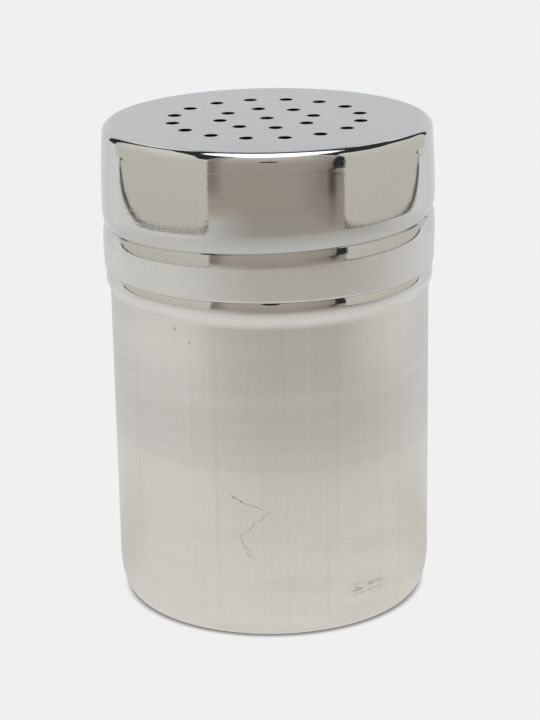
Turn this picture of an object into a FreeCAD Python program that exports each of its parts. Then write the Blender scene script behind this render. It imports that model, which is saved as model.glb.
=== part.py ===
import FreeCAD, Part
import math
import os

# All lengths are millimetres and all angles are degrees.
# The part stands on z = 0 with its axis on z; the front looks along -y.

# Deep drawn cup
cup_sheet = 0.5
body_radius = 32.7
body_height = 65.9
base_corner_width = 2.75
base_corner_height = 7.6
base_band_width = 5.95
base_recess_depth = 0.8
base_recess_slope_width = 1.6

# Stop bead rolled out of the cup wall
bead_swell = 0.8
bead_lower_rise = 2.65
bead_upper_rise = 2.0
bead_shoulder_drop = 0.33

# Neck above the bead
neck_inset = 0.2
neck_length = 26.65

# Sealing ring under the lid's top
ring_width = 3.2
ring_thickness = 2.2
ring_side_gap = 0.4

# Deep drawn lid
lid_sheet = 0.4
lid_rim_draw_in = 0.2
lid_top_draw_in = 0.5
lid_corner_radius = 2.0
lid_upper_taper_height = 10.8
lid_lower_taper_height = 4.7
lid_rim_gap = 0.15

# Pouring holes in the lid's top
hole_diameter = 2.8
inner_ring_radius = 9.6
outer_ring_radius = 19.2
inner_ring_count = 8
outer_ring_count = 16
hole_ring_turn = 10.2

# Rolled screw thread, one turn, right-handed
thread_pitch = 5.23
thread_start_angle = -270.0
thread_sweep_angle = 360.0
thread_front_angle = -90.0
thread_above_rim = 9.7
thread_fade_share = 0.1
thread_section_count = 36

# Clearance between the two threads, and between each thread and the other wall
thread_gap = 0.3

# Lid side of the thread: a crease under a bowed flank, then a short ledge and a
# longer, shallower flank below it
crease_upper_width = 3.6
crease_ledge_width = 0.12
crease_lower_width = 2.8
crease_lower_depth_share = 0.42

# Cup side of the thread: a rounded ridge above the lid's crease
ridge_depth = 0.5
ridge_half_width = 1.2
ridge_above_crease = 1.8

# Laps that keep the cuts and joins clean
wall_lap = 0.05
faded_depth = 0.02
overrun = 1.0

# Heights that follow from the sizes above
bead_crest_height = body_height + bead_lower_rise
bead_top_height = bead_crest_height + bead_upper_rise
mouth_height = bead_top_height + neck_length
lid_underside_height = mouth_height + ring_thickness
lid_top_height = lid_underside_height + lid_sheet
rim_height = bead_top_height + lid_rim_gap
crease_front_height = rim_height + thread_above_rim
ridge_front_height = crease_front_height + ridge_above_crease

# Radii that follow from the sizes above
neck_radius = body_radius - neck_inset
bead_radius = body_radius + bead_swell
shoulder_radius = bead_radius - bead_shoulder_drop
base_recess_radius = body_radius - base_corner_width - base_band_width
ridge_tip_radius = neck_radius + ridge_depth
crease_tip_radius = neck_radius + thread_gap + lid_sheet
lid_rim_radius = ridge_tip_radius + thread_gap + lid_sheet
lid_waist_radius = lid_rim_radius + lid_rim_draw_in
lid_top_radius = lid_waist_radius - lid_top_draw_in
crease_depth = lid_waist_radius - crease_tip_radius
ring_outer_radius = lid_top_radius - lid_sheet - ring_side_gap
ring_inner_radius = ring_outer_radius - ring_width

axis_start = FreeCAD.Vector(0, 0, 0)
axis_direction = FreeCAD.Vector(0, 0, 1)


def section_point(radius, height, angle=0.0):
    turn = math.radians(angle)
    return FreeCAD.Vector(radius * math.cos(turn), radius * math.sin(turn), height)


def line(start, end):
    return Part.LineSegment(section_point(*start), section_point(*end)).toShape()


def arc(start, middle, end):
    return Part.Arc(section_point(*start), section_point(*middle), section_point(*end)).toShape()


def revolved(edges):
    face = Part.Face(Part.Wire(edges))
    return face.revolve(axis_start, axis_direction, 360)


def bowed_radius(crest_radius, depth, width, distance):
    # An arc that leaves a vertical wall and drops by the depth over the width.
    bend = (width ** 2 + depth ** 2) / (2 * depth)
    return crest_radius - bend + math.sqrt(bend ** 2 - distance ** 2)


def corner_edge(radius, floor, width, height):
    # A quarter of an ellipse, from the flat base round to the upright wall.
    centre = section_point(radius - width, floor + height)
    lowest = section_point(radius - width, floor)
    widest = section_point(radius, floor + height)
    ellipse = Part.Ellipse(lowest, widest, centre)
    return Part.ArcOfEllipse(ellipse, 0, math.pi / 2).toShape()


def round_edge(start, end, centre):
    # A quarter round between two points that lie across and above its centre.
    reach = math.dist(start, centre)
    across = (start[0] + end[0]) / 2 - centre[0]
    up = (start[1] + end[1]) / 2 - centre[1]
    share = reach / math.hypot(across, up)
    return arc(start, (centre[0] + across * share, centre[1] + up * share), end)


def bowed_edge(crest, foot):
    # An arc that is upright at its crest and runs in to its foot.
    depth = crest[0] - foot[0]
    width = abs(crest[1] - foot[1])
    middle_height = (crest[1] + foot[1]) / 2
    middle_radius = bowed_radius(crest[0], depth, width, width / 2)
    return arc(crest, (middle_radius, middle_height), foot)


def faded(full_depth, share):
    # The thread grows from nothing at one end and dies away at the other.
    rise = min(share, 1 - share) / thread_fade_share
    rise = min(rise, 1)
    smooth = rise * rise * (3 - 2 * rise)
    return faded_depth + (full_depth + wall_lap - faded_depth) * smooth


def helix_solid(section, front_height):
    wires = []
    for index in range(thread_section_count + 1):
        share = index / thread_section_count
        angle = thread_start_angle + thread_sweep_angle * share
        turns = (angle - thread_front_angle) / 360
        wires.append(section(angle, front_height + thread_pitch * turns, share))
    return Part.makeLoft(wires, True, False)


def placed_wire(points, rounds, angle):
    # A round, where one is named for a side, gives the point it passes through.
    edges = []
    for index, start in enumerate(points):
        end = points[(index + 1) % len(points)]
        start_point = section_point(*start, angle)
        end_point = section_point(*end, angle)
        if index in rounds:
            middle_point = section_point(*rounds[index], angle)
            edges.append(Part.Arc(start_point, middle_point, end_point).toShape())
        else:
            edges.append(Part.LineSegment(start_point, end_point).toShape())
    return Part.Wire(edges)


def crease_solid(wall_radius):
    crest_radius = wall_radius + wall_lap

    def section(angle, height, share):
        depth = faded(crease_depth, share)
        lower_depth = depth * crease_lower_depth_share
        upper_middle = crease_upper_width / 2
        lower_middle = crease_lower_width / 2
        upper_radius = bowed_radius(crest_radius, depth, crease_upper_width, upper_middle)
        lower_radius = bowed_radius(
            crest_radius, lower_depth, crease_lower_width, lower_middle
        )
        ledge_height = height - crease_ledge_width
        foot_height = ledge_height - crease_lower_width
        points = [
            (crest_radius, height + crease_upper_width),
            (crest_radius - depth, height),
            (crest_radius - lower_depth, ledge_height),
            (crest_radius, foot_height),
            (crest_radius + overrun, foot_height),
            (crest_radius + overrun, height + crease_upper_width),
        ]
        rounds = {
            0: (upper_radius, height + upper_middle),
            2: (lower_radius, ledge_height - lower_middle),
        }
        return placed_wire(points, rounds, angle)

    return helix_solid(section, crease_front_height)


def ridge_solid(wall_radius):
    foot_radius = wall_radius - wall_lap

    def section(angle, height, share):
        tip_radius = foot_radius + faded(ridge_depth, share)
        points = [
            (foot_radius, height - ridge_half_width),
            (foot_radius, height + ridge_half_width),
            (foot_radius - overrun, height + ridge_half_width),
            (foot_radius - overrun, height - ridge_half_width),
        ]
        rounds = {0: (tip_radius, height)}
        return placed_wire(points, rounds, angle)

    return helix_solid(section, ridge_front_height)


def cup_side(inset, top_height):
    # The outside of the cup, or its inside when inset by the sheet.
    foot = (body_radius - inset, body_height)
    crest = (bead_radius - inset, bead_crest_height)
    shoulder = (shoulder_radius - inset, bead_top_height - inset)
    neck_foot = (neck_radius - inset, bead_top_height - inset)
    neck_top = (neck_radius - inset, top_height)
    corner_width = base_corner_width - inset
    corner_height = base_corner_height - inset
    corner_start = (body_radius - base_corner_width, inset)
    corner_end = (body_radius - inset, base_corner_height)
    recess_top = base_recess_depth + inset
    recess_inner_radius = base_recess_radius - base_recess_slope_width
    edges = [
        line((0, recess_top), (recess_inner_radius, recess_top)),
        line((recess_inner_radius, recess_top), (base_recess_radius, inset)),
        line((base_recess_radius, inset), corner_start),
        corner_edge(body_radius - inset, inset, corner_width, corner_height),
        line(corner_end, foot),
        bowed_edge(crest, foot),
        bowed_edge(crest, shoulder),
        line(shoulder, neck_foot),
        line(neck_foot, neck_top),
        line(neck_top, (0, top_height)),
        line((0, top_height), (0, recess_top)),
    ]
    return revolved(edges)


def make_cup():
    outside = cup_side(0, mouth_height).fuse(ridge_solid(neck_radius))
    inside = cup_side(cup_sheet, mouth_height + overrun)
    hollow_ridge = ridge_solid(neck_radius - cup_sheet)
    return outside.cut(inside.fuse(hollow_ridge))


def lid_side(inset, bottom_height):
    # The outside of the lid, or its inside when inset by the sheet.
    top = lid_top_height - inset
    corner = lid_corner_radius - inset
    corner_height = lid_top_height - lid_corner_radius
    waist_top = corner_height - lid_upper_taper_height
    waist_bottom = rim_height + lid_lower_taper_height
    corner_centre = (lid_top_radius - lid_corner_radius, corner_height)
    flat_end = (corner_centre[0], top)
    side_start = (lid_top_radius - inset, corner_height)
    upper_waist = (lid_waist_radius - inset, waist_top)
    lower_waist = (lid_waist_radius - inset, waist_bottom)
    rim = (lid_rim_radius - inset, rim_height)
    bottom = (lid_rim_radius - inset, bottom_height)
    edges = [
        line((0, top), flat_end),
        round_edge(flat_end, side_start, corner_centre),
        line(side_start, upper_waist),
        line(upper_waist, lower_waist),
        line(lower_waist, rim),
    ]
    if bottom_height < rim_height:
        edges.append(line(rim, bottom))
    edges.append(line(bottom, (0, bottom_height)))
    edges.append(line((0, bottom_height), (0, top)))
    return revolved(edges)


def ring_of_holes(radius, count):
    holes = []
    for index in range(count):
        angle = hole_ring_turn + 360 * index / count
        start = section_point(radius, lid_underside_height - overrun, angle)
        length = lid_sheet + 2 * overrun
        holes.append(Part.makeCylinder(hole_diameter / 2, length, start))
    return holes


def make_lid():
    outside = lid_side(0, rim_height).cut(crease_solid(lid_waist_radius))
    inside = lid_side(lid_sheet, rim_height - overrun)
    inside = inside.cut(crease_solid(lid_waist_radius - lid_sheet))
    holes = ring_of_holes(0, 1)
    holes += ring_of_holes(inner_ring_radius, inner_ring_count)
    holes += ring_of_holes(outer_ring_radius, outer_ring_count)
    lid = outside.cut(inside).cut(Part.makeCompound(holes))
    return lid


def make_sealing_ring():
    # The upper outer corner follows the round inside the lid's corner.
    corner = lid_corner_radius - lid_sheet
    top = lid_underside_height
    corner_centre = (ring_outer_radius - corner, top - corner)
    flat_end = (corner_centre[0], top)
    side_start = (ring_outer_radius, corner_centre[1])
    edges = [
        line((ring_inner_radius, mouth_height), (ring_outer_radius, mouth_height)),
        line((ring_outer_radius, mouth_height), side_start),
        round_edge(side_start, flat_end, corner_centre),
        line(flat_end, (ring_inner_radius, top)),
        line((ring_inner_radius, top), (ring_inner_radius, mouth_height)),
    ]
    return revolved(edges)


os.makedirs("parts", exist_ok=True)
make_cup().exportStep("parts/cup.step")
make_sealing_ring().exportStep("parts/sealing_ring.step")
make_lid().exportStep("parts/lid.step")
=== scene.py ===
import math

import bpy
from mathutils import Matrix, Vector


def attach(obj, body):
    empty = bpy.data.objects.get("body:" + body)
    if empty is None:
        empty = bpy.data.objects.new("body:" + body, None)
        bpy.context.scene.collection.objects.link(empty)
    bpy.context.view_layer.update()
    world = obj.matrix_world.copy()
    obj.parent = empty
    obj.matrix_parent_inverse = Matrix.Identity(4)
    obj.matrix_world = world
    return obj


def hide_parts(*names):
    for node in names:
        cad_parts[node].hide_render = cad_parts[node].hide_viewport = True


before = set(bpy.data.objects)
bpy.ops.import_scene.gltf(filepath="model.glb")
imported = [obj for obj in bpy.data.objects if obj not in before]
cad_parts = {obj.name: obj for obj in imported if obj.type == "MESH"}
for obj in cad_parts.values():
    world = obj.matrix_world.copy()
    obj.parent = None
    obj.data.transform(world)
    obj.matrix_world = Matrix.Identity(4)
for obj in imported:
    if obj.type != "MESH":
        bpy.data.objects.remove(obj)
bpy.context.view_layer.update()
scene = bpy.context.scene
scene.view_settings.view_transform = "Standard"

# ---------------------------------------------------------------------------
# The camera: a long lens 437 mm in front of the shaker, looking a little down
# on it, with the shaker upright in the middle of a tall picture.
camera_data = bpy.data.cameras.new("photo_camera")
camera_data.sensor_width = 36.0
camera_data.lens = 110.0
camera_data.clip_start = 0.01
camera_data.clip_end = 20.0
camera = bpy.data.objects.new("photo_camera", camera_data)
scene.collection.objects.link(camera)
camera_place = Vector((0.0, -0.43704, 0.19002))
sight = Vector((-0.00063, 0.95137, -0.30805)).normalized()
level_right = Vector((1.0, 0.0003, 0.0)).normalized()
level_up = level_right.cross(sight)
roll = -0.0170
picture_right = math.cos(roll) * level_right + math.sin(roll) * level_up
picture_up = -math.sin(roll) * level_right + math.cos(roll) * level_up
turn = Matrix((picture_right, picture_up, -sight)).transposed()
camera.matrix_world = Matrix.Translation(camera_place) @ turn.to_4x4()
scene.camera = camera

# ---------------------------------------------------------------------------
# The backdrop: a pale room, the same in every direction. It lights the shaker
# evenly, and metal shows it as the camera does.
room = bpy.data.worlds.new("pale_room")
room.use_nodes = True
room_light = room.node_tree.nodes["Background"]
room_light.inputs["Color"].default_value = (0.863, 0.863, 0.863, 1.0)
room_path = room.node_tree.nodes.new("ShaderNodeLightPath")
room_level = room.node_tree.nodes.new("ShaderNodeMapRange")
room_level.inputs["To Min"].default_value = 1.0
room_level.inputs["To Max"].default_value = 0.87
room.node_tree.links.new(room_path.outputs["Is Diffuse Ray"], room_level.inputs["Value"])
room.node_tree.links.new(room_level.outputs["Result"], room_light.inputs["Strength"])
scene.world = room

# ---------------------------------------------------------------------------
# The floor: a wide pale sheet. It runs into the backdrop without an edge, and
# keeps the narrow shadow where the shaker's base meets it. Under and just round
# the base the sheet is a matte painted dark grey, so that shadow is partly real
# and partly painted shade.
bpy.ops.object.select_all(action="DESELECT")
bpy.ops.mesh.primitive_circle_add(vertices=96, radius=6.0, fill_type="NGON", location=(0, 0, -0.00004))
floor = bpy.context.object
floor.name = "floor"
bpy.ops.object.transform_apply(location=True)
floor_paint = bpy.data.materials.new("pale_floor")
floor_paint.use_nodes = True
tree = floor_paint.node_tree
tree.nodes.clear()
floor_out = tree.nodes.new("ShaderNodeOutputMaterial")
floor_mix = tree.nodes.new("ShaderNodeMixShader")
# Painted shade: the matte under and round the base is dark grey, far darker than the pale sheet.
painted_shade_matte = tree.nodes.new("ShaderNodeBsdfDiffuse")
painted_shade_matte.inputs["Color"].default_value = (0.42, 0.40, 0.41, 1.0)
floor_glow = tree.nodes.new("ShaderNodeEmission")
floor_glow.inputs["Color"].default_value = (0.885, 0.885, 0.885, 1.0)
floor_path = tree.nodes.new("ShaderNodeLightPath")
floor_coord = tree.nodes.new("ShaderNodeTexCoord")
floor_far = tree.nodes.new("ShaderNodeVectorMath")
floor_far.operation = "LENGTH"
shadow_inner, shadow_outer = 0.0303, 0.0324
floor_keep = tree.nodes.new("ShaderNodeMapRange")
floor_keep.interpolation_type = "SMOOTHSTEP"
floor_keep.inputs["From Min"].default_value = shadow_inner
floor_keep.inputs["From Max"].default_value = shadow_outer
floor_keep.inputs["To Max"].default_value = 0.97
camera_share = tree.nodes.new("ShaderNodeMath")
camera_share.operation = "MULTIPLY"
with_glossy = tree.nodes.new("ShaderNodeMath")
with_glossy.operation = "MAXIMUM"
with_clear = tree.nodes.new("ShaderNodeMath")
with_clear.operation = "MAXIMUM"
tree.links.new(floor_path.outputs["Is Camera Ray"], camera_share.inputs[0])
tree.links.new(floor_keep.outputs["Result"], camera_share.inputs[1])
tree.links.new(camera_share.outputs[0], with_glossy.inputs[0])
tree.links.new(floor_path.outputs["Is Glossy Ray"], with_glossy.inputs[1])
tree.links.new(floor_coord.outputs["Object"], floor_far.inputs[0])
tree.links.new(floor_far.outputs["Value"], floor_keep.inputs["Value"])
tree.links.new(with_glossy.outputs[0], with_clear.inputs[0])
tree.links.new(floor_path.outputs["Is Transmission Ray"], with_clear.inputs[1])
tree.links.new(with_clear.outputs[0], floor_mix.inputs["Fac"])
tree.links.new(painted_shade_matte.outputs[0], floor_mix.inputs[1])
tree.links.new(floor_glow.outputs[0], floor_mix.inputs[2])
# From underneath the sheet can't be seen, so that the shaker's base shows there.
floor_side = tree.nodes.new("ShaderNodeNewGeometry")
floor_clear = tree.nodes.new("ShaderNodeBsdfTransparent")
floor_choice = tree.nodes.new("ShaderNodeMixShader")
tree.links.new(floor_side.outputs["Backfacing"], floor_choice.inputs["Fac"])
tree.links.new(floor_mix.outputs[0], floor_choice.inputs[1])
tree.links.new(floor_clear.outputs[0], floor_choice.inputs[2])
tree.links.new(floor_choice.outputs[0], floor_out.inputs["Surface"])
floor.data.materials.append(floor_paint)

# ---------------------------------------------------------------------------
# The lamp: one large round soft light straight over the shaker. The lid's
# corner shows it as the white line along its front.
lamp_data = bpy.data.lights.new("overhead_softbox", "AREA")
lamp_data.shape = "DISK"
lamp_data.size = 0.62
lamp_data.energy = 1.22
lamp = bpy.data.objects.new("overhead_softbox", lamp_data)
lamp.location = (0.0, 0.0, 0.76)
scene.collection.objects.link(lamp)

# ---------------------------------------------------------------------------
# The studio flats: cards that stand in a ring of about 250 mm radius round the
# shaker. Only polished metal shows them. A flat is given by its stations: the
# bearing in degrees (0 is the camera's side, plus is to the right), the height
# of its lower edge and the height of its upper edge, in millimetres.


def spread(nodes, links, source, low, high, new_low, new_high, smooth=False):
    node = nodes.new("ShaderNodeMapRange")
    if smooth:
        node.interpolation_type = "SMOOTHSTEP"
    node.inputs["From Min"].default_value = low
    node.inputs["From Max"].default_value = high
    node.inputs["To Min"].default_value = new_low
    node.inputs["To Max"].default_value = new_high
    links.new(source, node.inputs["Value"])
    return node.outputs["Result"]


def reckoned(nodes, links, operation, first, second):
    node = nodes.new("ShaderNodeMath")
    node.operation = operation
    for socket, value in zip(node.inputs, (first, second)):
        if isinstance(value, float):
            socket.default_value = value
        else:
            links.new(value, socket)
    return node.outputs[0]


def toned(nodes, links, share, first, second):
    node = nodes.new("ShaderNodeMix")
    node.data_type = "RGBA"
    for name, value in (("A", first), ("B", second)):
        if isinstance(value, tuple):
            node.inputs[name].default_value = (*value, 1.0)
        else:
            links.new(value, node.inputs[name])
    links.new(share, node.inputs["Factor"])
    return node.outputs["Result"]


def own_place(nodes, links):
    # Where a point lies on its own piece, its height, and its bearing round the
    # axis: 0 is the camera's side, plus is to the right.
    coord = nodes.new("ShaderNodeTexCoord")
    split = nodes.new("ShaderNodeSeparateXYZ")
    links.new(coord.outputs["Object"], split.inputs[0])
    rearward = reckoned(nodes, links, "MULTIPLY", split.outputs["Y"], -1.0)
    bearing = reckoned(nodes, links, "ARCTAN2", split.outputs["X"], rearward)
    return coord.outputs["Object"], split.outputs["Z"], bearing


def product(nodes, links, first, second):
    return reckoned(nodes, links, "MULTIPLY", first, second)


def card_paint(name, low_height, low_colour, high_height, high_colour):
    paint = bpy.data.materials.new(name)
    paint.use_nodes = True
    nodes = paint.node_tree.nodes
    links = paint.node_tree.links
    nodes.clear()
    out = nodes.new("ShaderNodeOutputMaterial")
    glow = nodes.new("ShaderNodeEmission")
    coord = nodes.new("ShaderNodeTexCoord")
    split = nodes.new("ShaderNodeSeparateXYZ")
    share = nodes.new("ShaderNodeMapRange")
    share.inputs["From Min"].default_value = low_height / 1000
    share.inputs["From Max"].default_value = high_height / 1000
    blend = nodes.new("ShaderNodeMix")
    blend.data_type = "RGBA"
    blend.inputs["A"].default_value = (*low_colour, 1.0)
    blend.inputs["B"].default_value = (*high_colour, 1.0)
    links.new(coord.outputs["Object"], split.inputs[0])
    links.new(split.outputs["Z"], share.inputs["Value"])
    links.new(share.outputs["Result"], blend.inputs["Factor"])
    links.new(blend.outputs["Result"], glow.inputs["Color"])
    links.new(glow.outputs[0], out.inputs["Surface"])
    return paint


def only_in_reflections(card):
    card.visible_camera = False
    card.visible_diffuse = False
    card.visible_transmission = False
    card.visible_volume_scatter = False
    card.visible_shadow = False


def standing_card(name, radius, stations, paint):
    first = stations[0][0]
    last = stations[-1][0]
    columns = max(2, round(last - first))
    bpy.ops.object.select_all(action="DESELECT")
    bpy.ops.mesh.primitive_grid_add(x_subdivisions=columns, y_subdivisions=1, size=2)
    card = bpy.context.object
    card.name = name
    for point in card.data.vertices:
        bearing = first + (last - first) * (point.co.x + 1) / 2
        bearing = min(max(bearing, first), last)
        for (left, left_low, left_high), (right, right_low, right_high) in zip(stations, stations[1:]):
            if left <= bearing <= right:
                share = (bearing - left) / (right - left)
                low = left_low + (right_low - left_low) * share
                high = left_high + (right_high - left_high) * share
                break
        height = low if point.co.y < 0 else high
        angle = math.radians(bearing)
        point.co = (
            radius * math.sin(angle) / 1000,
            -radius * math.cos(angle) / 1000,
            height / 1000,
        )
    card.data.materials.append(paint)
    only_in_reflections(card)
    return card


left_card = [
    (-120, 56.5, 430),
    (-118, 57, 440),
    (-116, 57, 445),
    (-113.6, 54, 450),
    (-113, 46, 450),
    (-108.5, 38, 452),
    (-101, 31, 452),
    (-94, 28.2, 454),
    (-87, 27, 452),
    (-74, 26.8, 408),
    (-64, 27.2, 365),
    (-56, 27.6, 320),
    (-50, 28.2, 240),
    (-45, 29, 200),
    (-40.5, 31, 194),
    (-38.3, 35, 190),
]
pale_green = card_paint("left_card_paint", 30, (0.645, 0.635, 0.575), 330, (0.86, 0.85, 0.80))
standing_card("left_card", 250, left_card, pale_green)

right_card = [
    (49, 36, 240),
    (50, 31, 252),
    (54.5, 28, 300),
    (62, 26.6, 346),
    (71, 26.3, 321),
    (81, 26.3, 295),
    (93, 26.8, 282),
    (102, 28.6, 281),
    (107, 30.6, 280),
    (113, 37, 254),
    (117, 45, 226),
    (118.5, 53, 214),
    (128, 53, 165),
    (129, 53, 119),
    (130, 53, 82),
    (131, 53, 60),
]
right_green = card_paint("right_card_paint", 30, (0.655, 0.635, 0.58), 330, (0.80, 0.79, 0.74))
standing_card("right_card", 250, right_card, right_green)

front_card = [
    (-40, 39, 560),
    (-31, 39, 560),
    (-20, 41, 560),
    (-8, 42, 560),
    (2, 42.6, 560),
    (15, 43, 560),
    (25, 44, 560),
    (30, 39, 560),
    (34, 34, 560),
    (38, 30, 560),
    (50, 30, 560),
]
warm_grey = card_paint("front_card_paint", 45, (0.42, 0.378, 0.326), 420, (0.70, 0.66, 0.60))
standing_card("front_card", 256, front_card, warm_grey)

# The front card gets darker towards both its ends.
nodes = warm_grey.node_tree.nodes
links = warm_grey.node_tree.links
height, bearing = own_place(nodes, links)[1:]
first_bearing, last_bearing = front_card[0][0], front_card[-1][0]
ends = nodes.new("ShaderNodeFloatCurve")
ends_curve = ends.mapping.curves[0]
ends_curve.points[0].location = (0.0, 0.84)
ends_curve.points[1].location = (1.0, 0.9)
end_levels = [
    (-36, 0.62), (-32, 0.75), (-29, 0.92), (-25, 1.0), (-10, 1.0), (5, 1.0),
    (15, 1.0), (20, 0.96), (23, 0.9), (26, 0.86), (29.5, 0.8), (33, 0.71),
    (36.5, 0.64), (38.6, 0.42), (40.4, 0.25), (43.5, 0.56), (46, 0.78),
]
for card_bearing, level in end_levels:
    share = (card_bearing - first_bearing) / (last_bearing - first_bearing)
    ends_curve.points.new(share, level)
ends.mapping.update()
along = spread(nodes, links, bearing, math.radians(first_bearing), math.radians(last_bearing), 0.0, 1.0)
links.new(along, ends.inputs["Value"])
higher = spread(nodes, links, height, 0.050, 0.057, 0.6, 1.0)
lower = spread(nodes, links, height, 0.030, 0.050, -0.4, 0.0)
hold_right = reckoned(nodes, links, "ADD", higher, lower)
hold_right = product(nodes, links, hold_right, spread(nodes, links, height, 0.070, 0.078, 1.0, 0.4))
hold_left = spread(nodes, links, height, 0.051, 0.062, 0.0, 1.0, True)
to_left = spread(nodes, links, bearing, -0.1, -0.5, 0.0, 1.0, True)
side = nodes.new("ShaderNodeMix")
links.new(to_left, side.inputs["Factor"])
links.new(hold_right, side.inputs["A"])
links.new(hold_left, side.inputs["B"])
dimmer = reckoned(nodes, links, "SUBTRACT", ends.outputs["Value"], 1.0)
dimmer = product(nodes, links, side.outputs["Result"], dimmer)
paler_foot = spread(nodes, links, height, 0.051, 0.038, 0.0, 0.24)
shade = reckoned(nodes, links, "ADD", dimmer, 1.0)
shade = reckoned(nodes, links, "ADD", shade, product(nodes, links, paler_foot, to_left))
scale = nodes.new("ShaderNodeVectorMath")
scale.operation = "SCALE"
front_glow = nodes["Emission"]
links.new(front_glow.inputs["Color"].links[0].from_socket, scale.inputs[0])
links.new(shade, scale.inputs["Scale"])
links.new(scale.outputs[0], front_glow.inputs["Color"])

# Black cloth over and behind the pale cards: it gives the dark line along the
# lid's front corner and the dark gaps between the cards.
black = card_paint("black_cloth_paint", 0, (0.035, 0.037, 0.04), 600, (0.035, 0.037, 0.04))
left_cloth = [
    (-146, 580, 715),
    (-137, 430, 715),
    (-133, 405, 715),
    (-132, 95, 715),
    (-120, 86, 715),
    (-38, 185, 715),
]
standing_card("black_cloth_left", 262, left_cloth, black)
right_cloth = [(50, 150, 600), (120, 150, 600), (128, 95, 600), (134.5, 95, 600)]
standing_card("black_cloth_right", 262, right_cloth, black)
rear_cloth = [
    (134, 330, 620),
    (138, 340, 620),
    (141, 320, 620),
    (149, 412, 620),
    (160, 382, 620),
    (167, 325, 620),
    (173, 270, 620),
    (180, 270, 620),
    (186, 272, 620),
    (193, 340, 620),
    (198, 404, 620),
    (209, 470, 620),
    (214, 475, 620),
    (220, 450, 620),
    (227, 385, 620),
]
standing_card("black_cloth_rear", 262, rear_cloth, black)
gap = [(41.2, 70.5, 74), (42.2, 70.5, 90), (43.6, 70.5, 150), (46, 70.5, 190), (49.7, 70.5, 225)]
standing_card("dark_gap_right", 240, gap, black)
wedge = [(-56, 300, 460), (-50, 235, 430), (-46, 205, 330), (-42.5, 190, 240)]
standing_card("dark_gap_left", 246, wedge, black)

# Painted shadow: each card has a dark strip along its lower edge, where the cards meet the floor.
card_foot_shadow = card_paint("card_foot_shadow_paint", 0, (0.12, 0.113, 0.108), 100, (0.12, 0.113, 0.108))
left_card_foot_shadow = [
    (-114.6, 50, 56),
    (-113.2, 43, 56),
    (-111.6, 39.5, 52),
    (-108.5, 35.4, 43.5),
    (-101, 29.4, 34.2),
    (-94, 26.6, 29.8),
    (-87, 25.4, 27.8),
    (-74, 25.2, 27.3),
    (-56, 26.2, 28.2),
    (-45, 27.4, 29.7),
    (-40.5, 29, 32.4),
    (-38.3, 32, 38),
]
standing_card("left_card_foot_shadow", 249, left_card_foot_shadow, card_foot_shadow)
right_card_foot_shadow = [
    (49, 31, 38),
    (50, 29, 33.5),
    (54.5, 26.4, 29.6),
    (64, 25.2, 27.6),
    (86, 25.2, 27.8),
    (95.5, 26, 29.2),
    (102, 27.4, 31.6),
    (108, 29.4, 35),
    (113, 34, 43),
    (117, 41, 52),
    (119, 48, 56),
]
standing_card("right_card_foot_shadow", 249, right_card_foot_shadow, card_foot_shadow)

# The floor round the shaker, as polished metal shows it: dimmer in front, where
# the front of the room is dark, and cooler in the rear, where the room is a cool
# white. It is open under the shaker's base.
bpy.ops.object.select_all(action="DESELECT")
near_height = 0.0004
near_radius = 0.9
bpy.ops.mesh.primitive_circle_add(vertices=96, radius=near_radius, location=(0, 0, near_height))
near_floor = bpy.context.object
near_floor.name = "near_floor"
bpy.ops.object.transform_apply(location=True)
bpy.ops.object.mode_set(mode="EDIT")
bpy.ops.mesh.select_all(action="SELECT")
bpy.ops.mesh.extrude_region_move()
opening = 0.0335
bpy.ops.transform.resize(value=(opening, opening, 1.0), center_override=(0, 0, near_height))
bpy.ops.object.mode_set(mode="OBJECT")
near_paint = bpy.data.materials.new("near_floor_paint")
near_paint.use_nodes = True
nodes = near_paint.node_tree.nodes
links = near_paint.node_tree.links
nodes.clear()
out = nodes.new("ShaderNodeOutputMaterial")
glow = nodes.new("ShaderNodeEmission")
place, bearing = own_place(nodes, links)[::2]
distance = nodes.new("ShaderNodeVectorMath")
distance.operation = "LENGTH"
links.new(place, distance.inputs[0])
reach = distance.outputs["Value"]
level = nodes.new("ShaderNodeValToRGB")
level.color_ramp.elements[0].position = 0.11
level.color_ramp.elements[0].color = (0.75, 0.75, 0.746, 1.0)
level.color_ramp.elements[1].position = 0.70
level.color_ramp.elements[1].color = (0.80, 0.80, 0.796, 1.0)
middle = level.color_ramp.elements.new(0.36)
middle.color = (0.70, 0.70, 0.697, 1.0)
links.new(spread(nodes, links, reach, 0.045, 0.445, 0.0, 1.0), level.inputs["Fac"])
aside = reckoned(nodes, links, "ABSOLUTE", bearing, 0.0)
cooled = spread(nodes, links, aside, 2.0, 2.4, 0.0, 1.0, True)
tint = toned(nodes, links, cooled, (1.0, 1.0, 1.0), (0.97, 1.0, 1.055))
tinted = nodes.new("ShaderNodeVectorMath")
tinted.operation = "MULTIPLY"
links.new(level.outputs["Color"], tinted.inputs[0])
links.new(tint, tinted.inputs[1])
off_front = reckoned(nodes, links, "ABSOLUTE", reckoned(nodes, links, "SUBTRACT", bearing, 0.45), 0.0)
inwards = spread(nodes, links, off_front, 1.6, 0.5, 0.0, 1.0, True)
outwards = spread(nodes, links, reach, 0.045, 0.38, 0.0, 1.0)
fronted = toned(nodes, links, product(nodes, links, inwards, outwards), tinted.outputs[0], (0.41, 0.385, 0.347))
beside = spread(nodes, links, aside, 1.25, 1.65, 0.0, 1.0, True)
beside = product(nodes, links, beside, spread(nodes, links, aside, 2.3, 1.95, 0.0, 1.0, True))
beside = product(nodes, links, beside, spread(nodes, links, reach, 0.12, 0.075, 0.0, 1.0, True))
links.new(toned(nodes, links, beside, fronted, (0.655, 0.65, 0.64)), glow.inputs["Color"])
links.new(glow.outputs[0], out.inputs["Surface"])
near_floor.data.materials.append(near_paint)
only_in_reflections(near_floor)

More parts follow.
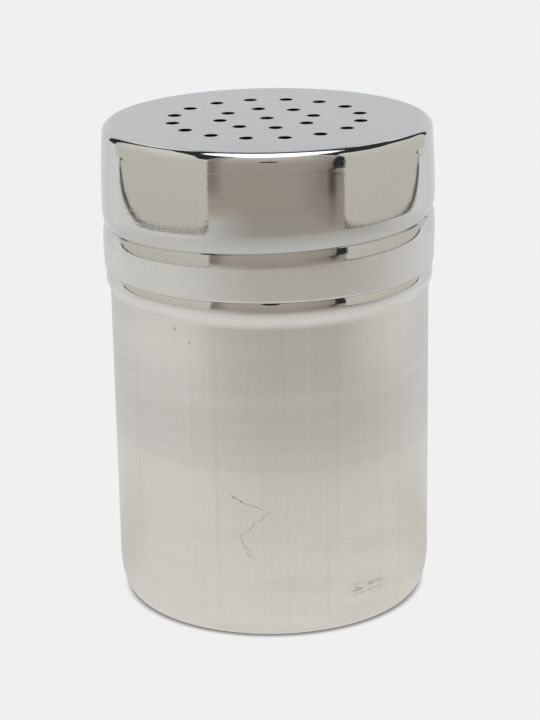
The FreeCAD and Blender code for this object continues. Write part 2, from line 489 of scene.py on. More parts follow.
# The rear wall of the room is a cool white, and fades into the sides.
cool_white = card_paint("cool_white_paint", 0, (0.70, 0.725, 0.765), 60, (0.735, 0.75, 0.77))
standing_card("cool_rear", 268, [(117, 0, 255), (180, 0, 320), (243, 0, 255)], cool_white)
nodes = cool_white.node_tree.nodes
links = cool_white.node_tree.links
bearing = own_place(nodes, links)[2]
aside = reckoned(nodes, links, "ABSOLUTE", bearing, 0.0)
rear_share = spread(nodes, links, aside, 2.05, 2.45, 0.0, 1.0, True)
rear_glow = nodes["Emission"]
rear_colour = rear_glow.inputs["Color"].links[0].from_socket
links.new(toned(nodes, links, rear_share, (0.82, 0.82, 0.82), rear_colour), rear_glow.inputs["Color"])

# The front of the lens, seen in the lid's corner and in the cup's bead.
bpy.ops.object.select_all(action="DESELECT")
bpy.ops.mesh.primitive_circle_add(
    vertices=48,
    radius=0.027,
    fill_type="NGON",
    location=(0.003, -0.245, 0.150),
    rotation=(math.radians(90), 0, 0),
)
lens_front = bpy.context.object
lens_front.name = "lens_front"
bpy.ops.object.transform_apply(location=True, rotation=True)
lens_front.data.materials.append(black)
only_in_reflections(lens_front)

# ---------------------------------------------------------------------------
# The cup: one piece of deep drawn steel sheet, 0.5 mm thick. The press leaves
# fine upright draw lines on its satin wall. A stop bead is rolled out of it
# under the lid, and one turn of thread out of its neck.


def turned_shell(name, outline, steps):
    # A ring is drawn out along the outline, ring after ring, as on a lathe.
    bpy.ops.object.select_all(action="DESELECT")
    start_radius, start_height = outline[0]
    bpy.ops.mesh.primitive_circle_add(
        vertices=steps, radius=start_radius / 1000, location=(0, 0, start_height / 1000)
    )
    shell = bpy.context.object
    shell.name = name
    bpy.ops.object.transform_apply(location=True)
    bpy.ops.object.mode_set(mode="EDIT")
    bpy.ops.mesh.select_all(action="SELECT")
    bpy.ops.mesh.select_mode(type="EDGE")
    for (radius, height), (next_radius, next_height) in zip(outline, outline[1:]):
        rise = (next_height - height) / 1000
        widening = next_radius / radius
        bpy.ops.mesh.extrude_region_move(TRANSFORM_OT_translate={"value": (0, 0, rise)})
        bpy.ops.transform.resize(
            value=(widening, widening, 1.0), center_override=(0, 0, next_height / 1000)
        )
    # The last ring is closed, and then the first one.
    bpy.ops.mesh.edge_face_add()
    bpy.ops.mesh.select_all(action="DESELECT")
    bpy.ops.object.mode_set(mode="OBJECT")
    for point in shell.data.vertices[:steps]:
        point.select = True
    bpy.ops.object.mode_set(mode="EDIT")
    bpy.ops.mesh.edge_face_add()
    bpy.ops.mesh.select_all(action="SELECT")
    bpy.ops.mesh.normals_make_consistent(inside=False)
    bpy.ops.mesh.select_all(action="DESELECT")
    bpy.ops.object.mode_set(mode="OBJECT")
    return shell


def arc_rings(centre_radius, centre_height, across, up, start, end, count):
    rings = []
    for index in range(count + 1):
        angle = math.radians(start + (end - start) * index / count)
        rings.append((centre_radius + across * math.cos(angle), centre_height + up * math.sin(angle)))
    return rings


def even_rings(radius, low, high, count):
    return [(radius, low + (high - low) * index / count) for index in range(count + 1)]


def bow(depth, width, distance):
    # How far a bowed flank has dropped at a distance from where it leaves the wall.
    bend = (width ** 2 + depth ** 2) / (2 * depth)
    return bend - math.sqrt(max(bend ** 2 - distance ** 2, 0.0))


def thread_place(x, y):
    # How far round the single turn of thread a point lies, from 0 to 1. The turn
    # starts and ends at the back.
    angle = math.degrees(math.atan2(y, x))
    if angle > 90:
        angle -= 360
    return (angle + 270) / 360


thread_pitch = 5.23


def thread_rise(share):
    return thread_pitch * (share - 0.5)


def eased(value):
    value = min(max(value, 0.0), 1.0)
    return value * value * (3 - 2 * value)


body_radius = 32.7
body_sheet = 0.5
neck_radius = 32.5
bead_radius = 33.5
bead_foot = 65.9
bead_middle = 68.55
lower_swell, lower_rise = 0.8, 2.65
upper_swell, upper_rise = 0.33, 2.0
cup_outline = [
    (12.0, 0.8),
    (22.0, 0.8),
    (22.5, 0.74),
    (22.9, 0.58),
    (23.5, 0.22),
    (23.9, 0.05),
    (24.4, 0.0),
    (29.3, 0.0),
]
cup_outline += arc_rings(29.95, 7.6, 2.75, 7.6, -90, 0, 22)
cup_outline += even_rings(body_radius, 8.6, 65.0, 28)


def lower_bead(radius, step):
    share = step / 14
    return radius - bow(lower_swell, lower_rise, lower_rise * (1 - share)), bead_foot + lower_rise * share


def upper_bead(radius, step):
    share = step / 12
    return radius - bow(upper_swell, upper_rise, upper_rise * share), bead_middle + upper_rise * share


cup_outline += [lower_bead(bead_radius, step) for step in range(15)]
cup_outline += [upper_bead(bead_radius, step) for step in range(1, 13)]
cup_outline += [(33.12, 70.57), (32.8, 70.57), (32.62, 70.6), (32.53, 70.68), (32.5, 70.8)]
cup_outline += even_rings(neck_radius, 71.4, 79.0, 8)
cup_outline += even_rings(neck_radius, 79.4, 85.4, 30)
cup_outline += even_rings(neck_radius, 86.4, 96.2, 8)
cup_outline += [(32.5, 96.8), (32.47, 97.0), (32.38, 97.14), (32.25, 97.2)]
cup_outline += [(32.12, 97.14), (32.03, 97.0), (32.0, 96.8)]
cup_outline += even_rings(neck_radius - body_sheet, 96.2, 86.4, 8)
cup_outline += even_rings(neck_radius - body_sheet, 85.4, 79.4, 30)
cup_outline += even_rings(neck_radius - body_sheet, 79.0, 71.4, 8)
cup_outline += [(32.0, 70.4), (32.1, 70.16), (32.28, 70.07), (32.5, 70.07)]
cup_outline += [upper_bead(bead_radius - body_sheet, step) for step in range(9, -1, -1)]
cup_outline += [lower_bead(bead_radius - body_sheet, step) for step in range(13, -1, -1)]
cup_outline += even_rings(body_radius - body_sheet, 65.0, 8.6, 14)
cup_outline += arc_rings(29.95, 7.6, 2.25, 7.1, 0, -90, 16)
cup_outline += [(24.6, 0.5), (23.9, 0.62), (23.3, 0.9), (22.7, 1.22), (22.2, 1.3), (12.0, 1.3)]
cup = turned_shell("cup_shell", cup_outline, 240)

# The ridge of thread is pressed out of the neck, and it dies away at both ends.
ridge_height = 82.2
ridge_half = 1.35
for point in cup.data.vertices:
    x, y, z = point.co * 1000
    if not 71.0 < z < 96.5:
        continue
    share = thread_place(x, y)
    closing = eased(min(share, 1 - share) / 0.05)
    follow = min(1.0, max(0.0, (z - 71.4) / 8.0), max(0.0, (96.2 - z) / 10.8))
    z += thread_rise(share) * closing * follow
    away = z - (ridge_height + thread_rise(share))
    ridge = 0.5 * eased(min(share, 1 - share) / 0.1)
    radius = math.hypot(x, y)
    lifted = radius
    if abs(away) < ridge_half and ridge > 0.01:
        lifted += ridge * eased(1 - abs(away) / ridge_half)
    point.co = Vector((x * lifted / radius, y * lifted / radius, z)) / 1000
bpy.ops.object.shade_smooth_by_angle(angle=math.radians(35))
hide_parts("cup")
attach(cup, "cup")


def steel_grain():
    # Fine upright draw lines, level bands and small specks, as one effect.
    group = bpy.data.node_groups.new("steel_grain", "ShaderNodeTree")
    group.interface.new_socket("Line Size", in_out="INPUT", socket_type="NodeSocketFloat")
    group.interface.new_socket("Lines", in_out="OUTPUT", socket_type="NodeSocketFloat")
    group.interface.new_socket("Bands", in_out="OUTPUT", socket_type="NodeSocketFloat")
    group.interface.new_socket("Cloud", in_out="OUTPUT", socket_type="NodeSocketFloat")
    group.interface.new_socket("Specks", in_out="OUTPUT", socket_type="NodeSocketFloat")
    nodes = group.nodes
    links = group.links
    given = nodes.new("NodeGroupInput")
    made = nodes.new("NodeGroupOutput")
    coord = nodes.new("ShaderNodeTexCoord")
    upright = nodes.new("ShaderNodeMapping")
    upright.inputs["Scale"].default_value = (1.0, 1.0, 0.012)
    level = nodes.new("ShaderNodeMapping")
    level.inputs["Scale"].default_value = (0.03, 0.03, 1.0)
    lines = nodes.new("ShaderNodeTexNoise")
    lines.inputs["Detail"].default_value = 3.0
    bands = nodes.new("ShaderNodeTexNoise")
    bands.inputs["Scale"].default_value = 340.0
    bands.inputs["Detail"].default_value = 4.0
    cloud = nodes.new("ShaderNodeTexNoise")
    cloud.inputs["Scale"].default_value = 60.0
    cloud.inputs["Detail"].default_value = 4.0
    specks = nodes.new("ShaderNodeTexNoise")
    specks.inputs["Scale"].default_value = 3200.0
    specks.inputs["Detail"].default_value = 2.0
    links.new(coord.outputs["Object"], upright.inputs["Vector"])
    links.new(coord.outputs["Object"], level.inputs["Vector"])
    links.new(upright.outputs["Vector"], lines.inputs["Vector"])
    links.new(level.outputs["Vector"], bands.inputs["Vector"])
    links.new(coord.outputs["Object"], cloud.inputs["Vector"])
    links.new(coord.outputs["Object"], specks.inputs["Vector"])
    links.new(given.outputs["Line Size"], lines.inputs["Scale"])
    links.new(lines.outputs["Fac"], made.inputs["Lines"])
    links.new(bands.outputs["Fac"], made.inputs["Bands"])
    links.new(cloud.outputs["Fac"], made.inputs["Cloud"])
    links.new(specks.outputs["Fac"], made.inputs["Specks"])
    return group


grain = steel_grain()


def placed(nodes, kind, **settings):
    node = nodes.new(kind)
    for name, value in settings.items():
        setattr(node, name, value)
    return node


def hairline(nodes, links, bearing, height, middle, low, high, wander, seed):
    # A fine scratch that wanders up the wall between two heights.
    way = nodes.new("ShaderNodeMath")
    way.operation = "MULTIPLY_ADD"
    links.new(height, way.inputs[0])
    way.inputs[1].default_value = 170.0
    way.inputs[2].default_value = seed
    path = nodes.new("ShaderNodeTexNoise")
    path.noise_dimensions = "1D"
    path.inputs["Scale"].default_value = 1.0
    path.inputs["Detail"].default_value = 2.5
    links.new(way.outputs[0], path.inputs["W"])
    shift = spread(nodes, links, path.outputs["Fac"], 0.0, 1.0, middle - wander, middle + wander)
    off = reckoned(nodes, links, "ABSOLUTE", reckoned(nodes, links, "SUBTRACT", bearing, shift), 0.0)
    line = spread(nodes, links, off, 0.0075, 0.001, 0.0, 1.0, True)
    foot = spread(nodes, links, height, low, low + 0.001, 0.0, 1.0)
    head = spread(nodes, links, height, high, high - 0.001, 0.0, 1.0)
    return product(nodes, links, line, product(nodes, links, foot, head))


satin = bpy.data.materials.new("cup_satin_steel")
satin.use_nodes = True
nodes = satin.node_tree.nodes
links = satin.node_tree.links
steel = nodes["Principled BSDF"]
steel.inputs["Metallic"].default_value = 1.0
place, height, bearing = own_place(nodes, links)
marks = placed(nodes, "ShaderNodeGroup", node_tree=grain)
marks.inputs["Line Size"].default_value = 900.0
lines = marks.outputs["Lines"]
bands = marks.outputs["Bands"]
cloud = marks.outputs["Cloud"]
specks = marks.outputs["Specks"]

# The upper half went further through the die: it is a little darker and shows
# level bands. The lower half is warmer, with faint brown stains near the base.
edge_grain = spread(nodes, links, specks, 0.3, 0.7, -0.0006, 0.0006)
drawn_height = reckoned(nodes, links, "ADD", height, edge_grain)
drawn_soft = spread(nodes, links, drawn_height, 0.0315, 0.0415, 0.0, 0.65, True)
drawn_edge = spread(nodes, links, drawn_height, 0.0352, 0.0368, 0.0, 0.35, True)
drawn = reckoned(nodes, links, "ADD", drawn_soft, drawn_edge)
colour = toned(nodes, links, drawn, (0.836, 0.808, 0.757), (0.762, 0.739, 0.696))
band_tone = product(nodes, links, spread(nodes, links, bands, 0.46, 0.70, 0.0, 0.12), drawn)
colour = toned(nodes, links, band_tone, colour, (0.50, 0.485, 0.46))
band_pale = spread(nodes, links, bands, 0.48, 0.30, 0.0, 0.22)
colour = toned(nodes, links, band_pale, colour, (0.86, 0.84, 0.80))
line_tone = spread(nodes, links, lines, 0.56, 0.72, 0.0, 0.34)
colour = toned(nodes, links, line_tone, colour, (0.84, 0.82, 0.785))
line_dark = spread(nodes, links, lines, 0.44, 0.28, 0.0, 0.18)
colour = toned(nodes, links, line_dark, colour, (0.60, 0.58, 0.55))
stain_place = nodes.new("ShaderNodeMapping")
stain_place.inputs["Location"].default_value = (0.31, 0.12, 0.05)
stain_place.inputs["Scale"].default_value = (0.35, 0.35, 1.6)
links.new(place, stain_place.inputs["Vector"])
stain = nodes.new("ShaderNodeTexNoise")
stain.inputs["Scale"].default_value = 130.0
stain.inputs["Detail"].default_value = 5.0
stain.inputs["Roughness"].default_value = 0.6
links.new(stain_place.outputs["Vector"], stain.inputs["Vector"])
stained = spread(nodes, links, stain.outputs["Fac"], 0.46, 0.72, 0.0, 0.5, True)
low_down = spread(nodes, links, height, 0.030, 0.013, 0.05, 1.0, True)
stained = product(nodes, links, stained, low_down)
colour = toned(nodes, links, stained, colour, (0.74, 0.675, 0.575))

# Painted sheen: the wall is painted paler on both sides, high up, where the light
# falls on it more brightly, and in a band just under the bead.
from_below = spread(nodes, links, height, 0.047, 0.060, 0.0, 1.0, True)
from_above = spread(nodes, links, height, 0.0690, 0.065, 0.0, 1.0, True)
right_inner = spread(nodes, links, bearing, 0.34, 0.66, 0.0, 0.5, True)
right_outer = spread(nodes, links, bearing, 1.20, 0.80, 0.0, 1.0, True)
left_inner = spread(nodes, links, bearing, -0.30, -0.54, 0.0, 0.34, True)
left_outer = spread(nodes, links, bearing, -1.20, -0.80, 0.0, 1.0, True)
painted_sheen_left = product(nodes, links, left_inner, left_outer)
painted_sheen_right = product(nodes, links, right_inner, right_outer)
both_sides = reckoned(nodes, links, "ADD", painted_sheen_left, painted_sheen_right)
painted_sheen = product(nodes, links, product(nodes, links, from_below, from_above), both_sides)
under_bead = spread(nodes, links, height, 0.0650, 0.0668, 0.0, 0.55, True)
painted_sheen = reckoned(nodes, links, "MAXIMUM", painted_sheen, under_bead)
# Painted sheen: the wall is mixed towards a pale colour wherever the sheen mask is.
colour = toned(nodes, links, painted_sheen, colour, (0.95, 0.93, 0.89))

# Fine grain over all of it, strongest in the upper half.
grained = spread(nodes, links, specks, 0.38, 0.66, 0.0, 1.0)
grained = product(nodes, links, grained, spread(nodes, links, drawn, 0.0, 1.0, 0.10, 0.16))
colour = toned(nodes, links, grained, colour, (0.50, 0.49, 0.475))

# The stop bead is rubbed bright by the lid. Its seat under the lid's rim is painted darker as shade, for the
# dark gap between the rim and the bead.
bright = spread(nodes, links, height, 0.0681, 0.0687, 0.0, 1.0, True)
under_neck = spread(nodes, links, height, 0.0712, 0.0709, 0.0, 1.0)
colour = toned(nodes, links, product(nodes, links, bright, under_neck), colour, (0.675, 0.668, 0.648))
# Painted shade: a dark ring at the bead's seat, where the gap under the lid's rim is in shade.
painted_gap_shade = product(nodes, links, spread(nodes, links, height, 0.0704, 0.0705, 0.0, 1.0), under_neck)
colour = toned(nodes, links, painted_gap_shade, colour, (0.58, 0.57, 0.55))

# Pits: a few small dark dots, most of them high up on the left.
pit_cells = nodes.new("ShaderNodeTexVoronoi")
pit_cells.inputs["Scale"].default_value = 700.0
links.new(place, pit_cells.inputs["Vector"])
pit_size = nodes.new("ShaderNodeSeparateColor")
links.new(pit_cells.outputs["Color"], pit_size.inputs["Color"])
off_left = reckoned(nodes, links, "ABSOLUTE", reckoned(nodes, links, "ADD", bearing, 0.62), 0.0)
gathered = spread(nodes, links, off_left, 0.50, 0.1, 0.0, 0.30, True)
gathered = product(nodes, links, gathered, spread(nodes, links, height, 0.056, 0.063, 0.0, 1.0, True))
pit_share = reckoned(nodes, links, "ADD", pit_size.outputs["Red"], gathered)
pit_reach = spread(nodes, links, pit_share, 0.86, 1.2, 0.0, 0.2)
pit = reckoned(nodes, links, "SUBTRACT", pit_reach, pit_cells.outputs["Distance"])
pit = spread(nodes, links, pit, -0.01, 0.02, 0.0, 1.0)
pit = product(nodes, links, pit, spread(nodes, links, cloud, 0.30, 0.45, 0.2, 0.9))

# Handling marks: one long scratch that doubles back, two faint hairlines and one
# scuff near the base.
scratch_way = [
    (0.0176, -0.134),
    (0.0192, -0.158),
    (0.0207, -0.188),
    (0.0219, -0.203),
    (0.0235, -0.162),
    (0.0248, -0.112),
    (0.0261, -0.069),
    (0.0275, -0.047),
    (0.0281, -0.068),
    (0.0287, -0.128),
    (0.0298, -0.201),
    (0.0307, -0.266),
]
way_low, way_high = 0.015, 0.035
way = nodes.new("ShaderNodeFloatCurve")
curve = way.mapping.curves[0]
curve.points[0].location = (0.0, 0.5)
curve.points[1].location = (1.0, 0.5)
for way_height, way_bearing in scratch_way:
    curve.points.new((way_height - way_low) / (way_high - way_low), way_bearing + 0.5)
way.mapping.update()
links.new(spread(nodes, links, height, way_low, way_high, 0.0, 1.0), way.inputs["Value"])
shake = nodes.new("ShaderNodeTexNoise")
shake.noise_dimensions = "1D"
shake.inputs["Scale"].default_value = 900.0
shake.inputs["Detail"].default_value = 4.0
links.new(height, shake.inputs["W"])
jitter = spread(nodes, links, shake.outputs["Fac"], 0.25, 0.75, -0.022, 0.022)
way_now = reckoned(nodes, links, "ADD", way.outputs["Value"], jitter)
off = reckoned(nodes, links, "SUBTRACT", reckoned(nodes, links, "ADD", bearing, 0.5), way_now)
off = reckoned(nodes, links, "ABSOLUTE", off, 0.0)
near_bends = spread(nodes, links, height, 0.0278, 0.0286, 0.0046, 0.012)
marked = spread(nodes, links, reckoned(nodes, links, "DIVIDE", off, near_bends), 1.0, 0.3, 0.0, 1.0, True)
marked = product(nodes, links, marked, spread(nodes, links, height, 0.0174, 0.0178, 0.0, 1.0))
marked = product(nodes, links, marked, spread(nodes, links, height, 0.0309, 0.0306, 0.0, 1.0))
left_hair = hairline(nodes, links, bearing, height, -0.96, 0.042, 0.055, 0.12, 11.7)
rear_hair = hairline(nodes, links, bearing, height, 2.35, 0.020, 0.047, 0.14, 23.1)
marked = reckoned(nodes, links, "MAXIMUM", marked, product(nodes, links, left_hair, 0.22))
marked = reckoned(nodes, links, "MAXIMUM", marked, product(nodes, links, rear_hair, 0.3))
marked = product(nodes, links, marked, spread(nodes, links, specks, 0.36, 0.52, 0.45, 0.9))
off_scuff = reckoned(nodes, links, "ABSOLUTE", reckoned(nodes, links, "SUBTRACT", bearing, 0.62), 0.0)
scuff_side = spread(nodes, links, off_scuff, 0.19, 0.05, 0.0, 1.0, True)
off_scuff = reckoned(nodes, links, "ABSOLUTE", reckoned(nodes, links, "SUBTRACT", height, 0.0088), 0.0)
scuff_height = spread(nodes, links, off_scuff, 0.0018, 0.0004, 0.0, 1.0, True)
scuff_place = nodes.new("ShaderNodeMapping")
scuff_place.inputs["Scale"].default_value = (0.25, 0.25, 2.2)
links.new(place, scuff_place.inputs["Vector"])
scuff = nodes.new("ShaderNodeTexNoise")
scuff.inputs["Scale"].default_value = 1500.0
links.new(scuff_place.outputs["Vector"], scuff.inputs["Vector"])
scuffed = spread(nodes, links, scuff.outputs["Fac"], 0.50, 0.66, 0.0, 1.0)
scuffed = product(nodes, links, scuffed, product(nodes, links, scuff_side, scuff_height))
worn = reckoned(nodes, links, "MAXIMUM", reckoned(nodes, links, "MAXIMUM", marked, pit), scuffed)
colour = toned(nodes, links, product(nodes, links, worn, 0.66), colour, (0.16, 0.15, 0.13))
links.new(colour, steel.inputs["Base Color"])

# The satin wall is rough and the bead is smooth. Lines, specks and marks have depth.
rough = spread(nodes, links, cloud, 0.3, 0.7, 0.33, 0.39)
rough = reckoned(nodes, links, "ADD", rough, spread(nodes, links, lines, 0.3, 0.7, -0.03, 0.03))
blend = nodes.new("ShaderNodeMix")
links.new(bright, blend.inputs["Factor"])
links.new(rough, blend.inputs["A"])
links.new(spread(nodes, links, specks, 0.3, 0.7, 0.03, 0.06), blend.inputs["B"])
links.new(blend.outputs["Result"], steel.inputs["Roughness"])
relief = reckoned(nodes, links, "ADD", lines, product(nodes, links, specks, 0.5))
relief = reckoned(nodes, links, "SUBTRACT", relief, product(nodes, links, worn, 0.6))
bump = nodes.new("ShaderNodeBump")
bump.inputs["Strength"].default_value = 0.15
bump.inputs["Distance"].default_value = 0.00004
links.new(relief, bump.inputs["Height"])
links.new(bump.outputs["Normal"], steel.inputs["Normal"])
cup.data.materials.append(satin)

# ---------------------------------------------------------------------------
# The sealing ring: a flat silicone ring with a rounded upper edge. It sits
# loosely under the lid's top and closes the coarse thread to fine spice.
ring_outline = [
    (30.9, 97.2),
    (32.4, 97.2),
    (32.54, 97.26),
    (32.6, 97.4),
]
ring_outline += arc_rings(31.0, 97.8, 1.6, 1.6, 0, 90, 10)
ring_outline += [(29.7, 99.4), (29.52, 99.36), (29.42, 99.26), (29.4, 99.1), (29.4, 97.5), (29.42, 97.34)]
ring_outline += [(29.52, 97.24), (29.7, 97.2), (30.9, 97.2)]
ring = turned_shell("ring_silicone_loop", ring_outline, 160)

# The outline comes back to where it starts: the two closing faces are taken away
# there, and the two rings of points are joined.
bpy.ops.object.mode_set(mode="EDIT")
bpy.ops.mesh.select_mode(type="FACE")
bpy.ops.mesh.select_all(action="DESELECT")
bpy.ops.object.mode_set(mode="OBJECT")
for face in ring.data.polygons:
    face.select = len(face.vertices) > 4
bpy.ops.object.mode_set(mode="EDIT")
bpy.ops.mesh.delete(type="ONLY_FACE")
bpy.ops.mesh.select_all(action="SELECT")
bpy.ops.mesh.remove_doubles(threshold=0.000001)
bpy.ops.mesh.normals_make_consistent(inside=False)
bpy.ops.object.mode_set(mode="OBJECT")
bpy.ops.object.shade_smooth_by_angle(angle=math.radians(50))
silicone = bpy.data.materials.new("milky_silicone")
silicone.use_nodes = True
nodes = silicone.node_tree.nodes
links = silicone.node_tree.links
rubber = nodes["Principled BSDF"]
rubber.inputs["Subsurface Weight"].default_value = 0.15
rubber.inputs["Subsurface Radius"].default_value = (0.001, 0.001, 0.001)
marks = placed(nodes, "ShaderNodeGroup", node_tree=grain)
marks.inputs["Line Size"].default_value = 700.0
colour = toned(nodes, links, marks.outputs["Cloud"], (0.80, 0.80, 0.77), (0.86, 0.86, 0.84))
links.new(colour, rubber.inputs["Base Color"])
links.new(spread(nodes, links, marks.outputs["Cloud"], 0.3, 0.7, 0.42, 0.56), rubber.inputs["Roughness"])
bump = nodes.new("ShaderNodeBump")
bump.inputs["Strength"].default_value = 0.2
bump.inputs["Distance"].default_value = 0.00003
links.new(marks.outputs["Specks"], bump.inputs["Height"])
links.new(bump.outputs["Normal"], rubber.inputs["Normal"])
ring.data.materials.append(silicone)
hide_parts("sealing_ring")
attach(ring, "sealing_ring")

# ---------------------------------------------------------------------------
# The lid: one piece of deep drawn steel sheet, 0.4 mm thick, pulled down over
# the neck like a sleeve. Its side is polished, its pierced top is finely
# sanded, and its thread is rolled in from the outside, which leaves the crease.


lid_waist = 33.9
lid_sheet = 0.4
waist_top = 84.0
waist_foot = 77.2
top_draw_in, top_taper = 0.5, 13.8
rim_draw_in, rim_taper = 0.2, 6.5
rim_height = 70.7
lid_top = 99.8
corner_round = 2.0


def lid_wall(z):
    # The outside radius of the lid's side before the thread is rolled in. The side
    # draws in to the top and to the rim, with a fine upright band under the corner.
    if z > waist_top:
        band = 0.0107 * (1 + math.erf((z - 95.9) / 0.28))
        return lid_waist - top_draw_in * ((z - waist_top) / top_taper) ** 2 + band
    if z < waist_foot:
        return lid_waist - rim_draw_in * (waist_foot - z) / rim_taper
    return lid_waist


def crease_drop(away, depth):
    # How far the crease goes in, at a height above or below its bottom.
    if away >= 0:
        return bow(depth, 3.6, max(3.6 - away, 0.0))
    ledge = min(-away / 0.06, 1.0)
    lower = min(-away, 2.9)
    return bow(0.55 * depth, 2.9, 2.9 - lower) + 0.45 * depth * (1 - ledge)


corner_start = 97.915
corner_tilt = math.degrees(math.atan((corner_start - waist_top) / top_taper ** 2))
corner_middle = lid_wall(corner_start) - corner_round * math.cos(math.radians(corner_tilt))
corner_height = lid_top - corner_round
side_heights = [97.5, 97.1, 96.8, 96.6, 96.45, 96.3, 96.15, 96.0, 95.85, 95.7]
side_heights += [95.55, 95.4, 95.25, 95.1]
side_heights += [94.9, 94.6, 94.0, 93.2, 92.0, 90.8, 89.6, 88.4, 87.4, 86.5, 85.7, 85.0]
side_heights += [84.4 - 0.18 * step for step in range(21)]
side_heights += [80.64 - 0.04 * step for step in range(13)]
side_heights += [80.0 - 0.16 * step for step in range(19)]
side_heights += [76.8, 76.2, 75.5, 74.7, 73.9, 73.1, 72.4, 71.8, 71.35, 71.05]
lid_outline = [(30.6, lid_top), (31.2, lid_top)]
lid_outline += arc_rings(corner_middle, corner_height, corner_round, corner_round, 90, corner_tilt, 14)
lid_outline += [(lid_wall(z), z) for z in side_heights]
rim = lid_wall(rim_height)
rim_edge = [(0.02, 70.9), (0.06, 70.81), (0.12, 70.74), (0.2, 70.7), (0.28, 70.7), (0.35, 70.74), (0.39, 70.83)]
lid_outline += [(rim - inwards, z) for inwards, z in rim_edge]
lid_outline += [(lid_wall(z) - lid_sheet, z) for z in reversed(side_heights)]
inner_round = corner_round - lid_sheet
lid_outline += arc_rings(corner_middle, corner_height, inner_round, inner_round, corner_tilt, 90, 10)
lid_outline += [(31.2, lid_top - lid_sheet), (30.6, lid_top - lid_sheet)]
lid = turned_shell("lid_sleeve", lid_outline, 240)

# The crease of thread is pressed into the side, and it dies away at both ends.
crease_height = 80.4
for point in lid.data.vertices:
    x, y, z = point.co * 1000
    if not 71.0 < z < 96.8:
        continue
    share = thread_place(x, y)
    closing = eased(min(share, 1 - share) / 0.05)
    follow = min(1.0, max(0.0, (z - 71.05) / 6.0), max(0.0, (96.6 - z) / 12.2))
    z += thread_rise(share) * closing * follow
    radius = math.hypot(x, y)
    inner = lid_sheet if radius < lid_wall(z) - lid_sheet / 2 else 0.0
    away = z - (crease_height + thread_rise(share))
    depth = 0.02 + 0.58 * eased(min(share, 1 - share) / 0.1)
    drop = 0.0
    for shift in (-0.06, -0.03, 0.0, 0.03, 0.06):
        drop += max(crease_drop(away + shift, depth), 0.0) / 5
    pressed = lid_wall(z) - inner - drop
    point.co = Vector((x * pressed / radius, y * pressed / radius, z)) / 1000

# The 25 pouring holes are punched through the top.
hole_places = [(0.0, 0.0)]
hole_radius = 1.4
hole_turn = 10.2
for ring_radius, count in ((9.6, 8), (19.2, 16)):
    for index in range(count):
        angle = math.radians(hole_turn + 360 * index / count)
        hole_places.append((ring_radius * math.cos(angle), ring_radius * math.sin(angle)))
punches = []
for x, y in hole_places:
    bpy.ops.object.select_all(action="DESELECT")
    bpy.ops.mesh.primitive_cylinder_add(
        vertices=32, radius=hole_radius / 1000, depth=0.004, location=(x / 1000, y / 1000, 0.0996)
    )
    punches.append(bpy.context.object)
bpy.ops.object.select_all(action="DESELECT")
for punch in punches:
    punch.select_set(True)
bpy.context.view_layer.objects.active = punches[0]
bpy.ops.object.join()
punch = bpy.context.object
bpy.ops.object.select_all(action="DESELECT")
lid.select_set(True)
bpy.context.view_layer.objects.active = lid
cut = lid.modifiers.new("punch", "BOOLEAN")
cut.operation = "DIFFERENCE"
cut.solver = "EXACT"
cut.object = punch
bpy.ops.object.modifier_apply(modifier="punch")
bpy.data.objects.remove(punch)
bpy.ops.object.shade_smooth_by_angle(angle=math.radians(30))

polished = bpy.data.materials.new("lid_polished_steel")
polished.use_nodes = True
nodes = polished.node_tree.nodes
links = polished.node_tree.links
steel = nodes["Principled BSDF"]
steel.inputs["Metallic"].default_value = 1.0
height, bearing = own_place(nodes, links)[1:]
marks = placed(nodes, "ShaderNodeGroup", node_tree=grain)
marks.inputs["Line Size"].default_value = 1100.0
lines = marks.outputs["Lines"]
specks = marks.outputs["Specks"]
cloud = marks.outputs["Cloud"]

# The top is sanded. The skirt under the crease, which climbs with the thread,
# is finely blasted. The side between them is polished.
on_top = spread(nodes, links, height, 0.09965, 0.09977, 0.0, 1.0, True)
climb = nodes.new("ShaderNodeFloatCurve")
climb_curve = climb.mapping.curves[0]
climb_curve.points[0].location = (0.0, 0.5)
climb_curve.points[1].location = (1.0, 0.5)
climb_shares = [
    (0.04, 0.35), (0.1, 0.13), (0.15, 0.15), (0.3, 0.3), (0.5, 0.5),
    (0.7, 0.7), (0.85, 0.85), (0.9, 0.87), (0.96, 0.65),
]
for turn_share, climb_share in climb_shares:
    climb_curve.points.new(turn_share, climb_share)
climb.mapping.update()
links.new(spread(nodes, links, bearing, -math.pi, math.pi, 0.0, 1.0), climb.inputs["Value"])
skirt_height = 0.0775
half_climb = thread_pitch / 2000
skirt_top = spread(
    nodes, links, climb.outputs["Value"], 0.0, 1.0, skirt_height - half_climb, skirt_height + half_climb
)
under_top = reckoned(nodes, links, "SUBTRACT", skirt_top, height)
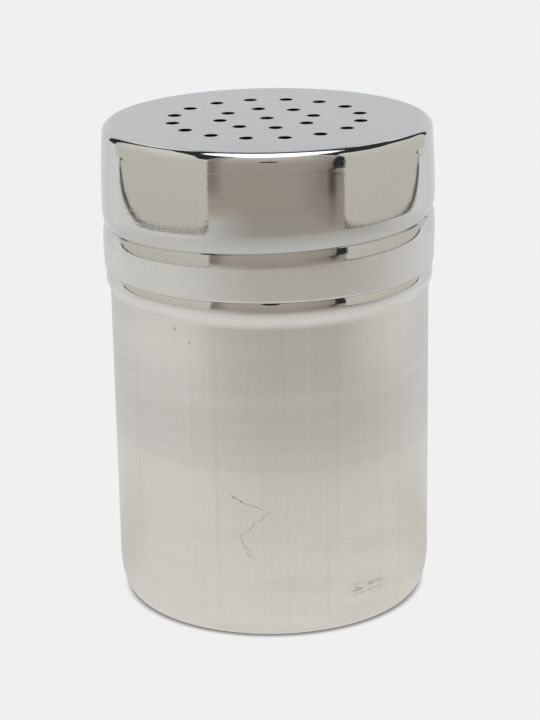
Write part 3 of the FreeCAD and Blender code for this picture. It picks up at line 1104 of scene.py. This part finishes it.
on_skirt = spread(nodes, links, under_top, -0.0002, 0.0001, 0.0, 1.0, True)
colour = toned(nodes, links, on_top, (0.670, 0.664, 0.645), (0.697, 0.699, 0.699))
colour = toned(nodes, links, on_skirt, colour, (0.760, 0.747, 0.716))
line_tone = spread(nodes, links, lines, 0.55, 0.75, 0.0, 0.12)
colour = toned(nodes, links, line_tone, colour, (0.78, 0.77, 0.75))
grained = spread(nodes, links, specks, 0.35, 0.65, 0.0, 0.07)
blasted = product(nodes, links, on_skirt, spread(nodes, links, specks, 0.52, 0.66, 0.0, 0.30))
grained = reckoned(nodes, links, "MAXIMUM", grained, blasted)
colour = toned(nodes, links, grained, colour, (0.45, 0.44, 0.43))

# The trimmed edge of the rim is painted brighter: a painted highlight along the rim.
painted_rim_highlight = spread(nodes, links, height, 0.07098, 0.07082, 0.0, 1.0)
colour = toned(nodes, links, painted_rim_highlight, colour, (0.86, 0.85, 0.83))
links.new(colour, steel.inputs["Base Color"])
top_rough = spread(nodes, links, specks, 0.3, 0.7, 0.28, 0.40)
skirt_rough = spread(nodes, links, cloud, 0.3, 0.7, 0.28, 0.30)
side_rough = spread(nodes, links, cloud, 0.3, 0.7, 0.03, 0.055)
blend = nodes.new("ShaderNodeMix")
links.new(on_top, blend.inputs["Factor"])
links.new(side_rough, blend.inputs["A"])
links.new(top_rough, blend.inputs["B"])
with_skirt = nodes.new("ShaderNodeMix")
links.new(on_skirt, with_skirt.inputs["Factor"])
links.new(blend.outputs["Result"], with_skirt.inputs["A"])
links.new(skirt_rough, with_skirt.inputs["B"])
links.new(with_skirt.outputs["Result"], steel.inputs["Roughness"])
relief = reckoned(nodes, links, "ADD", product(nodes, links, lines, 0.15), specks)
relief = product(nodes, links, relief, spread(nodes, links, on_skirt, 0.0, 1.0, 1.2, 0.15))
bump = nodes.new("ShaderNodeBump")
bump.inputs["Strength"].default_value = 0.2
bump.inputs["Distance"].default_value = 0.00002
links.new(relief, bump.inputs["Height"])
links.new(bump.outputs["Normal"], steel.inputs["Normal"])
lid.data.materials.append(polished)
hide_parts("lid")
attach(lid, "lid")
